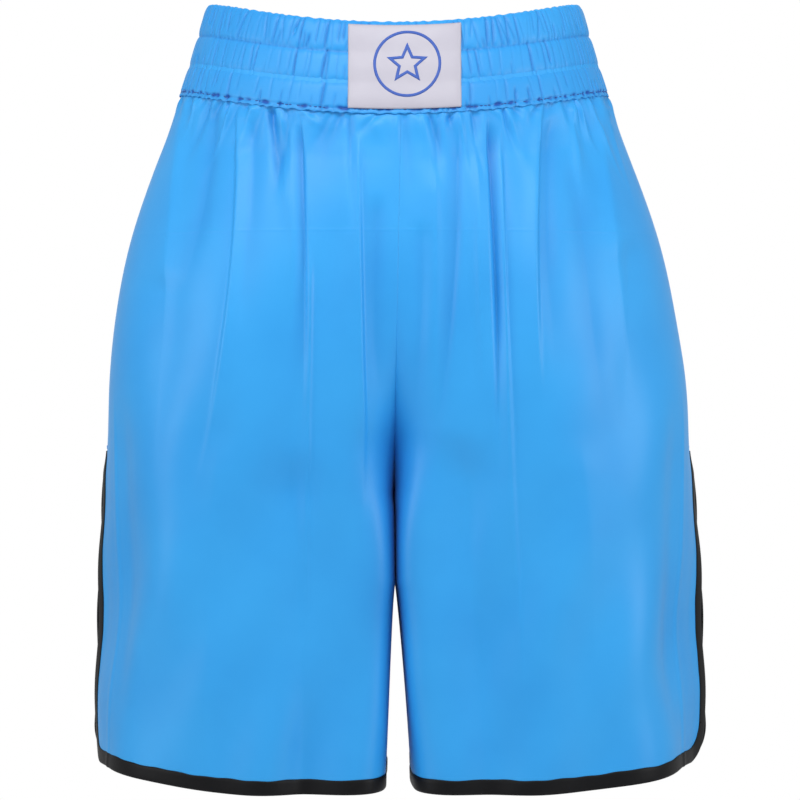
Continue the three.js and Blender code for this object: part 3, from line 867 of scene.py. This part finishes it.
def casing():
    """The casing's section, carried round the waist: up its face, over the rim, down the lining side, and
    back up inside, so that it is a hollow channel with the elastics in it."""
    turn = np.linspace(0, 2 * np.pi, BAND_STEPS, endpoint=False)
    loops, around = [], []

    def level(down):
        return np.full_like(turn, down)

    def lining(down, puckered):
        return band_skin(turn, level(down), CASING_INSIDE + puckered)

    for down in FACE_ROWS[::-1]:
        loops.append(casing_face(turn, level(down)))
        around.append(-down)
    top = ruching(turn, level(FACE_ROWS[0])) + CASING_STAND
    mid, half = (top + CASING_INSIDE) / 2, (top - CASING_INSIDE) / 2
    for angle in ROLL_ANGLES:
        roll = band_skin(turn, level(FACE_ROWS[0] - ROLL_RISE * np.sin(angle)), mid + half * np.cos(angle))
        roll[..., 2] += scallop(turn) * 0.8
        loops.append(roll)
        around.append(angle * ROLL_RADIUS)
    for down in INNER_ROWS:
        loops.append(lining(down, -0.2 * ruching(turn, level(down))))
        around.append(down + 4 * MM)
    for down in INNER_ROWS[::-1][1::2]:
        loops.append(lining(down, CASING_CLOTH))
        around.append(BAND * 2 + 6 * MM - down)
    for down in FACE_ROWS[4::6]:
        loops.append(casing_face(turn, level(down), -FACE_CLOTH))
        around.append(BAND + 6 * MM + down)
    grid = np.array(loops)
    u = np.broadcast_to(turn * BAND_RADIUS, grid.shape[:2])
    v = np.broadcast_to(np.array(around)[:, None], grid.shape[:2])
    # Painted shade on the casing's face rows, from its pleats, pits and stitched rows
    painted_shade = np.zeros(grid.shape[:2])
    for i, down in enumerate(FACE_ROWS[::-1]):
        painted_shade[i] = casing_painted_shade(turn, level(down))
    piece = ring("waistband_casing_cloth", grid, np.stack([u, v], -1), SATIN, painted_shade)
    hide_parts("waistband_casing")
    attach(piece, "waist")


def band_row(name, cad_node, down, spacing, width, stand, finish, seed, skip=0.0):
    """A row of stitches round the waist at a distance down, lying on the casing's face. A share of them,
    sunk in the gathers, is skipped."""
    rng = np.random.default_rng(seed)
    turn = turns_round(rng, BAND_RADIUS, spacing, 0.12)
    if skip:
        turn = turn[rng.random(len(turn)) > skip]
    level = np.full_like(turn, down)
    here = casing_face(turn, level, stand)
    ahead = casing_face(turn + 0.4 * spacing / BAND_RADIUS, level, stand)
    out = np.stack([np.cos(turn), -np.sin(turn) * 1.3, 0 * turn], -1)
    piece = stitches(name, here, ahead - here, out, STITCH_LENGTH, width, finish)
    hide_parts(cad_node)
    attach(piece, "waist")


STITCH_LENGTH = 2.3 * MM

casing()
for number, row in ((1, "upper"), (2, "lower")):
    names = (f"channel_stitches_{row}", f"channel_stitching_{row}")
    band_row(*names, number * CHANNEL, 3.0 * MM, 0.42 * MM, 0.02 * MM, BLUE_THREAD, 1 + number)
names = ("waist_seam_stitches", "waist_seam_stitching")
band_row(*names, BAND - SEAM_UP, 2.7 * MM, 0.8 * MM, 0.0, NAVY_THREAD, 4, skip=0.4)
for strip in ("upper", "middle", "lower"):
    bpy.data.objects[f"elastic_{strip}"].material_slots[0].material = ELASTIC

# ---------------------------------------------------------------- panels
SIDE_STEPS = 26
BROAD_STEPS = 262
PANEL_TOP = BAND - 5 * MM
LEG_RADIUS = 104 * MM
BROAD = LEG_RADIUS * (np.pi - np.arcsin(CREASE_Y / (108 * MM)))  # cloth from the crease to the seam
SEAM_STOP = CROTCH - 12 * MM  # where the seam's angle, which then jumps forward, is last followed
SEAM_SHARE = 0.93  # the share of the broad cloth before its last strip to the seam
SEAM_SHORT = 0.97  # how much of the way to the seam it turns
FINE_ROWS = 30 * MM
FINE_STEP = 1.1 * MM
COARSE_ROWS = 145


def hem_down(along):
    """The hem's distance down at a distance along the cloth from the vent's edge. It is level, but rises a
    little towards the inseam and more towards the vent, where it ends in a quarter circle."""
    level = CAD_HEM - HEM_LIFT - HEM_RISE_INSIDE * ramp(along, HEM_RISE_FROM, HEM_RISE_LENGTH)
    side = HEM_SIDE_RISE * (1 - ramp(along, HEM_SIDE_FROM, HEM_SIDE_REACH))
    short = np.clip(CORNER_RADIUS - along, 0, CORNER_RADIUS)
    return level - side - (CORNER_RADIUS - np.sqrt(CORNER_RADIUS**2 - short**2))


def cloth_angle(along, down):
    """The oval's angle at a distance along the cloth from the panel's side edge: by depth up to the vent's
    crease, then evenly to just before the seam, and the last of it to the seam, which at the crotch comes
    forward all at once."""
    edge = SEAM_GAP + (VENT_EDGE - SEAM_GAP) * ramp(down, VENT, 3 * MM)
    depth = np.minimum(edge + (CREASE_Y - edge) * along / CREASE_Y, CREASE_Y)
    first = angle_at(depth, down)
    share = np.clip((along - CREASE_Y) / BROAD, 0, 1)
    turned = first + (seam_angle(np.minimum(down, SEAM_STOP)) - first) * SEAM_SHORT
    even = first + (turned - first) * np.minimum(share / SEAM_SHARE, 1)
    return even + (seam_angle(down) - turned) * np.maximum((share - SEAM_SHARE) / (1 - SEAM_SHARE), 0)


ALONG = np.concatenate(
    [
        (1 - np.cos(np.linspace(0, np.pi / 2, SIDE_STEPS + 1))) * CREASE_Y,
        CREASE_Y + np.linspace(0, 1, BROAD_STEPS + 1)[1:] * BROAD,
    ]
)


def panel_grid(side, face):
    """A whole panel from under the band to its hem, with its rows close together below the band, its UV,
    and its painted shade at each point: darker in a sharp fold's hollow, and between the legs."""
    length = CAD_HEM - PANEL_TOP
    fine = np.arange(0, FINE_ROWS, FINE_STEP) / length
    rows = np.concatenate([fine, np.linspace(fine[-1], 1, COARSE_ROWS)[1:]])[:, None]
    down = PANEL_TOP + (hem_down(ALONG) - PANEL_TOP) * rows
    along = np.broadcast_to(ALONG, down.shape)
    angle = cloth_angle(along, down)
    grid = skin(side, face, angle, down)
    # Painted shade: darker in the hollows of sharp folds, and round the crotch between the legs
    painted_shade = np.clip(-fold_depth(side, face, angle, down)[1] / (3 * MM), 0, 1) * 0.26
    round_crotch = ramp(down, CROTCH - 70 * MM, 60 * MM) * (1 - ramp(down, CROTCH + 60 * MM, 60 * MM))
    painted_shade = np.maximum(painted_shade, 0.3 * bell(grid[..., 0], 16 * MM) * round_crotch)
    return grid, np.stack([along, -down], -1), painted_shade


def bend_with_leg(piece):
    """Bakes the piece's transform into its points."""
    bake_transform(piece)


def panel(side_name, face_name):
    """One whole panel, as a sheet that hangs from the band."""
    grid, uv, painted_shade = panel_grid(SIDES[side_name], FACES[face_name])
    piece = cloth(f"{face_name}_panel_{side_name}", grid, uv, SATIN, painted_shade=painted_shade)
    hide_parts(*[f"{face_name}_panel_{side_name}_{part}" for part in ("hip", "fold", "leg")])
    bend_with_leg(piece)


# ---------------------------------------------------------------- binding
PATH_STEP = 2 * MM


def edge_path():
    """The binding's line along any panel, as distances along the cloth and down, from the vent's top
    round the corner to the inseam."""
    corner = np.linspace(0, np.pi / 2, 22)
    side_level = hem_down(np.array([CORNER_RADIUS]))[0]
    straight = np.arange(VENT - 1 * MM, side_level - CORNER_RADIUS, PATH_STEP)
    round_along = CORNER_RADIUS * (1 - np.cos(corner))
    level = hem_down(np.maximum(round_along, 1e-6))
    hem = np.arange(CORNER_RADIUS + PATH_STEP, CREASE_Y + BROAD, PATH_STEP)
    hem = np.append(hem, CREASE_Y + BROAD)
    along = np.concatenate([0 * straight, round_along, hem])
    down = np.concatenate([straight, level, hem_down(hem)])
    return along, down


BINDING_SEEDS = {FRONT: 7, BACK: 9}

# The folded tape's section: inwards from the cloth's edge and out of the cloth, in mm
TAPE_SECTION = np.array(
    [
        (9.0, 0.30), (8.9, 0.62), (8.2, 0.86), (6.2, 0.92), (3.6, 0.98), (1.2, 1.04), (0.1, 0.95),
        (-0.55, 0.55), (-0.75, 0.0), (-0.55, -0.55), (0.1, -0.95), (1.2, -1.04), (3.6, -0.98),
        (6.2, -0.92), (8.2, -0.86), (8.9, -0.62), (9.0, -0.30), (4.5, -0.32), (0.4, -0.34), (0.0, 0.0),
        (0.4, 0.34), (4.5, 0.32),
    ]
) * MM


def binding_side(side, face):
    """One panel's stretch of tape: every section point lies on the skin at its own distance in from the
    edge, stood out by its height, so the tape bends and ripples with the cloth."""
    along, down = edge_path()
    step = unit(np.stack([np.gradient(along), np.gradient(down)], -1))
    inward = np.stack([step[:, 1], -step[:, 0]], -1)
    run = np.concatenate([[0], np.cumsum(np.hypot(np.diff(along), np.diff(down)))])
    phase = np.random.default_rng(BINDING_SEEDS[face]).uniform(0, 6)
    wobble = 1 + 0.03 * np.sin(run / (9 * MM) + phase) + 0.02 * np.sin(run / (3.7 * MM))
    reach = TAPE_SECTION[None, :, 0] * np.where(TAPE_SECTION[:, 0] > 5 * MM, wobble[:, None], 1)
    flat_along = along[:, None] + inward[:, None, 0] * reach
    flat_down = down[:, None] + inward[:, None, 1] * reach
    outside = np.minimum(flat_along, 0)
    angle = cloth_angle(np.maximum(flat_along, 0), flat_down)
    lift = np.broadcast_to(TAPE_SECTION[None, :, 1], angle.shape)
    place = skin(side, face, angle, flat_down, lift)
    place[..., 1] += face * outside
    uv = np.stack([np.broadcast_to(run[:, None], angle.shape), reach + lift], -1)
    return place, uv


def binding(side_name):
    """A leg's whole tape: down the front vent, round the hem, and up the back vent, as one closed tube."""
    side = SIDES[side_name]
    (front, front_uv), (back, back_uv) = binding_side(side, FRONT), binding_side(side, BACK)
    loop = np.concatenate([front, back[::-1]])
    uv = np.concatenate([front_uv, back_uv[::-1] * (-1, 1)])
    rows, columns = loop.shape[:2]
    body = quads(rows, columns, closed_columns=True)
    # each end is closed by quads between the tape's outer side and its inner one
    near = np.arange(columns // 2 - 1)
    other = (-2 - near) % columns
    cap = np.stack([near, near + 1, (other - 1) % columns, other], -1)
    last = cap[:, ::-1] + (rows - 1) * columns
    faces = np.concatenate([body, cap, last])
    piece = add_mesh(f"leg_binding_{side_name}", loop, outwards(loop, faces), BLACK, uv)
    nodes = [f"{face}_vent_binding_{side_name}" for face in FACES]
    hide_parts(f"hem_binding_{side_name}", *nodes)
    bend_with_leg(piece)


# ---------------------------------------------------------------- seams
ALLOWANCE = 5.4 * MM
ALLOWANCE_CLOTH = 0.7 * MM
ALLOWANCE_BOW = 0.25 * MM
OVERLOCK_PITCH = 1.35 * MM
OVERLOCK_WIDTH = 0.42 * MM
OVERLOCK_SLANT = 0.22
INTO = 1.5 * MM  # how far inside the cloth's middle a seam's allowance lies
SEAM_STEP = 3 * MM


def seam_strip(name, cad_node, line, across, out, side_name=None):
    """A seam's allowance inside the garment: a narrow strip of the cloth along the line, with overlocking
    threads laid across it, a little slanted, and a looped edge at both sides."""
    run = np.concatenate([[0], np.cumsum(np.linalg.norm(np.diff(line, axis=0), axis=-1))])
    share = np.linspace(-0.5, 0.5, 7)
    strip = line[:, None] + across[:, None] * (share * ALLOWANCE)[None, :, None]
    bow = (1 - (2 * share) ** 2) * ALLOWANCE_BOW
    strip = strip + out[:, None] * bow[None, :, None]
    uv = np.stack(np.broadcast_arrays((share * ALLOWANCE)[None, :], run[:, None]), -1)
    piece = cloth(name, strip, uv, SATIN, ALLOWANCE_CLOTH)
    at = np.arange(1 * MM, run[-1] - 1 * MM, OVERLOCK_PITCH)
    place, wide, lift = (
        np.stack([np.interp(at, run, values[:, i]) for i in range(3)], -1) for values in (line, across, out)
    )
    slant = wide + unit(np.gradient(place, axis=0)) * OVERLOCK_SLANT
    place = place + lift * 0.6 * MM
    length = ALLOWANCE * 1.02
    threads = stitches(name + "_overlocking", place, slant, lift, length, OVERLOCK_WIDTH, BLUE_THREAD)
    for made in (piece, threads):
        if side_name:
            bend_with_leg(made)
        else:
            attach(made, "waist")
    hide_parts(cad_node)


def seam_line(side, face, angle_of, top, bottom, axis, into):
    """A seam's line down the cloth, in the plane where that axis is 0 and moved inwards along the other,
    with the direction across it, and the one out of the allowance, towards the inside of the garment."""
    down = np.linspace(top, bottom, int((bottom - top) / SEAM_STEP))
    line = skin(side, face, angle_of(down), down, folded=False)
    other = 1 - axis
    line[:, axis] = 0
    line[:, other] += into
    across = np.tile(np.eye(3)[axis], (len(down), 1))
    out = unit(np.cross(across, np.gradient(line, axis=0)))
    out *= np.sign(into * out[:, other : other + 1])
    return line, across, out


def centre_seam(face):
    """Follows the middle of the front or back from the band to just above the crotch."""
    return seam_line(LEFT, face, seam_angle, BAND + 2 * MM, CROTCH - 8 * MM, 0, -face * (INTO + 0.8 * MM))


def side_seam(side):
    """Follows the side from the band to the vent."""

    def at_side(down):
        return angle_at(0, down)

    return seam_line(side, FRONT, at_side, BAND + 2 * MM, VENT - 3 * MM, 1, -side * INTO)


def inseam(side):
    """Follows the inside of a leg from below the crotch to the binding."""
    bottom = CAD_HEM - HEM_LIFT - BINDING_WIDTH - 1.5 * MM
    return seam_line(side, FRONT, seam_angle, CROTCH + 12 * MM, bottom, 1, side * INTO)


TACK_HALF = 4.5
TACK_UP = 3.5 * MM
TACK_LEAN = 0.18


def bar_tack(side_name):
    """A close row of upright stitches across the top of a vent, leaning to and fro."""
    side = SIDES[side_name]
    y = np.linspace(-TACK_HALF, TACK_HALF, 19) * MM
    down = np.full_like(y, VENT - TACK_UP)
    angle = angle_at(np.abs(y), down)
    front, back = (skin(side, face, angle, down, 0.3 * MM, False) for face in (FRONT, BACK))
    place = np.where((y < 0)[:, None], front, back)
    lean = np.where(np.arange(len(y)) % 2, 1, -1) * TACK_LEAN
    along = np.stack([0 * y, lean, 1 + 0 * y], -1)
    out = np.tile([float(side), 0, 0], (len(y), 1))
    piece = stitches(f"vent_tack_{side_name}", place, along, out, 2.4 * MM, 0.55 * MM, BLUE_THREAD)
    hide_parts(f"vent_bar_tack_{side_name}")
    bend_with_leg(piece)


for side_name in SIDES:
    for face_name in FACES:
        panel(side_name, face_name)
    binding(side_name)
    side = SIDES[side_name]
    seam_strip(f"side_seam_{side_name}", f"side_stitching_{side_name}", *side_seam(side), side_name)
    seam_strip(f"inseam_{side_name}", f"inseam_stitching_{side_name}", *inseam(side), side_name)
    bar_tack(side_name)
for face_name, face in FACES.items():
    seam_strip(f"centre_{face_name}_seam", f"centre_{face_name}_stitching", *centre_seam(face))

# ---------------------------------------------------------------- labels
LABEL_LOW, LABEL_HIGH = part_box("front_label")
LABEL_X = (LABEL_LOW.x + LABEL_HIGH.x) / 2
LABEL_WIDTH = LABEL_HIGH.x - LABEL_LOW.x
LABEL_HEIGHT = 55 * MM
LABEL_TOP = 2.0 * MM
LABEL_CLOTH = 0.45 * MM
LABEL_STAND = 0.45 * MM
PILLOW = 0.35 * MM
PRESSED = 0.7 * MM
LABEL_WAVE = 0.25 * MM


def label_face(x, below, stand=0.0):
    """A point of the label, by its place across and below its top edge: it lies on the band, pillowed a
    little over each channel and pressed to the casing at its sewn edges."""
    down = LABEL_TOP + below
    a, b, _, _, _ = section(down)
    turn = np.arccos(x / (a + CASING_STAND + PUFF))
    v = down / CHANNEL
    pillow = PILLOW * np.abs(np.sin(np.pi * v)) ** 1.5
    in_x = np.minimum(x - LABEL_X + LABEL_WIDTH / 2, LABEL_X + LABEL_WIDTH / 2 - x)
    in_z = np.minimum(below, LABEL_HEIGHT - below)
    pressed = PRESSED * np.exp(-np.maximum(0, np.minimum(in_x, in_z)) / (1.8 * MM))
    slow = LABEL_WAVE * np.sin(x / (11 * MM) + 1) * np.sin(below / (17 * MM))
    return band_skin(turn, down, CASING_STAND + PUFF + LABEL_STAND + pillow - pressed + slow + stand)


def front_label():
    """The label on the front of the band, a ribbon sewn down at its edges."""
    x = np.linspace(-0.5, 0.5, 75) * LABEL_WIDTH + LABEL_X
    below = np.linspace(0, 1, 57) * LABEL_HEIGHT
    x, below = np.meshgrid(x, below)
    piece = cloth("front_label_ribbon", label_face(x, below), np.stack([x, -below], -1), LABEL, LABEL_CLOTH)
    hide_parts("front_label")
    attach(piece, "waist")


EMBLEM_X = LABEL_X + 1.6 * MM
EMBLEM_BELOW = 25.6 * MM
INK_HEIGHT = 0.07 * MM
INK_GAP = 0.01 * MM


def printed_line(name, radius, share):
    """A closed printed line: a flat band that lies on the label, between the outline's radius at each turn
    and that radius less the given share of it."""
    turn = np.linspace(0, 2 * np.pi, len(radius), endpoint=False)
    lifts = np.array([1, 1, 0, 0]) * INK_HEIGHT + LABEL_CLOTH / 2 + INK_GAP
    r = radius[None, :] * (1 - np.array([1, 0, 0, 1]) * share)[:, None]
    x = EMBLEM_X + r * np.sin(turn)[None, :]
    below = EMBLEM_BELOW - r * np.cos(turn)[None, :]
    grid = label_face(x, below, lifts[:, None])
    piece = ring(name, grid, np.stack([x, -below], -1), INK)
    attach(piece, "waist")


def star_outline(points, outer, inner, count):
    """The radius of a star's outline: straight lines between its tips and its hollows."""
    turn = np.linspace(0, 2 * np.pi, count, endpoint=False)
    half = np.pi / points
    t = turn % (2 * half)
    t = np.minimum(t, 2 * half - t)
    return outer * inner * np.sin(half) / (outer * np.sin(t) + inner * np.sin(half - t))


def care_label():
    """A plain ribbon that hangs by its top edge inside the back, curling a little towards its end."""
    low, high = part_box("care_label")
    x, drop = np.meshgrid(np.linspace(low.x, high.x, 31), np.linspace(0, 1, 45))
    below = drop * (high.z - low.z)
    curl = 2.2 * MM * drop**2 + 0.5 * MM * np.sin(drop * 5) * drop
    bow = 0.8 * MM * (x / high.x) ** 2 * drop
    y = (low.y + high.y) / 2 - curl - bow
    grid = np.stack([x, y, high.z - below], -1)
    piece = cloth("care_label_ribbon", grid, np.stack([x, -below], -1), CARE, 0.3 * MM)
    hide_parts("care_label")
    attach(piece, "label_tag")


RING_RADIUS = 21.8 * MM
STAR_TIPS, STAR_HOLLOWS = 14.0 * MM, 6.4 * MM

front_label()
printed_line("label_print_ring", np.full(220, RING_RADIUS), 0.085)
printed_line("label_print_star", star_outline(5, STAR_TIPS, STAR_HOLLOWS, 300), 0.34)
care_label()

# ---------------------------------------------------------------- studio
CAMERA_BACK = 2.5
SENSOR = 36
VIEW_TALL = 0.536
LOOK_X = 4 * MM
LOOK_Z = -233 * MM
FLOOR_HALF = 1.6
FLOOR_BELOW = 0.5
# Each light's name, place, the point it faces, its width and height, and its watts
SOFTBOXES = [
    ("softbox_front", (-0.1, -0.92, 0.74), (0, 0, 0.05), (1.5, 0.3), 11.2),
    ("softbox_left", (-1.9, -1.0, 0.2), (0, 0, LOOK_Z), (1.1, 1.1), 13),
    ("softbox_right", (1.9, -1.0, 0.2), (0, 0, LOOK_Z), (1.1, 1.1), 16),
]


def camera():
    """A long lens straight in front, so that the view is nearly parallel."""
    data = bpy.data.cameras.new("camera")
    data.sensor_width = SENSOR
    data.lens = SENSOR * CAMERA_BACK / VIEW_TALL
    thing = bpy.data.objects.new("camera", data)
    thing.location = (LOOK_X, -CAMERA_BACK, LOOK_Z)
    thing.rotation_euler = (np.pi / 2, 0, 0)
    bpy.context.scene.collection.objects.link(thing)
    bpy.context.scene.camera = thing


def softbox(name, place, target, size, energy):
    """A rectangular area light that faces a point."""
    data = bpy.data.lights.new(name, "AREA")
    data.shape = "RECTANGLE"
    data.size, data.size_y = size
    data.energy = energy
    thing = bpy.data.objects.new(name, data)
    thing.location = place
    way = Vector(target) - Vector(place)
    thing.rotation_euler = way.to_track_quat("-Z", "Y").to_euler()
    bpy.context.scene.collection.objects.link(thing)


def studio():
    """A low broad light at each side, a strip above the front, and a white world that is brighter behind
    the shorts than in front of them, where it would flatten the folds."""
    for numbers in SOFTBOXES:
        softbox(*numbers)
    world = bpy.data.worlds.new("studio")
    bpy.context.scene.world = world
    world.use_nodes = True
    tree = world.node_tree
    way = node(tree, "ShaderNodeTexCoord").outputs["Generated"]
    behind = node(tree, "ShaderNodeSeparateXYZ", {"Vector": way}).outputs["Y"]
    glow = remap(tree, behind, 0.42, 1.0, 0.88, 0.985)
    tree.links.new(glow, tree.nodes["Background"].inputs["Strength"])
    tree.nodes["Background"].inputs["Color"].default_value = (1, 1, 1, 1)
    corners = np.array([[-1, -1, 0], [1, -1, 0], [1, 1, 0], [-1, 1, 0]]) * FLOOR_HALF
    corners[:, 2] = cad_box[0].z - FLOOR_BELOW
    floor = add_mesh("floor", corners, np.array([[0, 1, 2, 3]]), matt("pale_floor", "#f2f2f2"))
    bpy.context.scene.view_settings.view_transform = "Standard"


camera()
studio()
